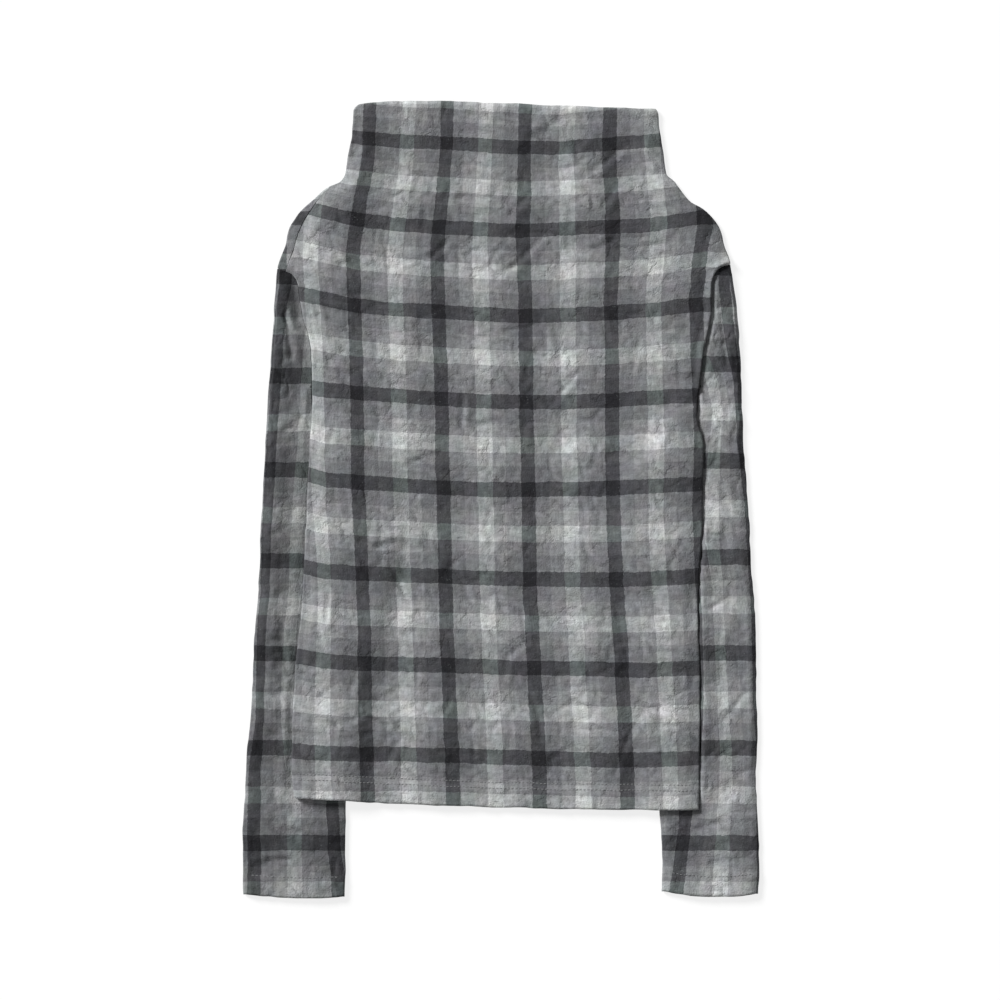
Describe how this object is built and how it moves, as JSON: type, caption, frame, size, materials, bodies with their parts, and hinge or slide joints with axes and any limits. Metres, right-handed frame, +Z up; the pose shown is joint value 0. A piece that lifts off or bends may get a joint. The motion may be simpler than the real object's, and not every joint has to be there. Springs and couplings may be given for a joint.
{
  "type": "long-sleeve plaid pull-on top with funnel neck, laid flat",
  "caption": "Long-sleeve woven plaid top with a wide grown-on funnel neck, laid flat on its back with both sleeves down under the body's sides.",
  "frame": {"origin": "bottom centre of the whole garment as it lies, on the surface it lies on", "axes": "+Y from the cuffs towards the neck, +Z up off the surface and out of the front, +X to the right as seen from above"},
  "size_m": [0.5006, 0.773, 0.0104],
  "materials": {
    "plaid_wool": "matte crinkled woven wool, grey shadow check"
  },
  "bodies": {
    "root": {"front": "plaid_wool", "back": "plaid_wool", "sleeve_left": "plaid_wool", "sleeve_right": "plaid_wool"}
  },
  "joints": []
}
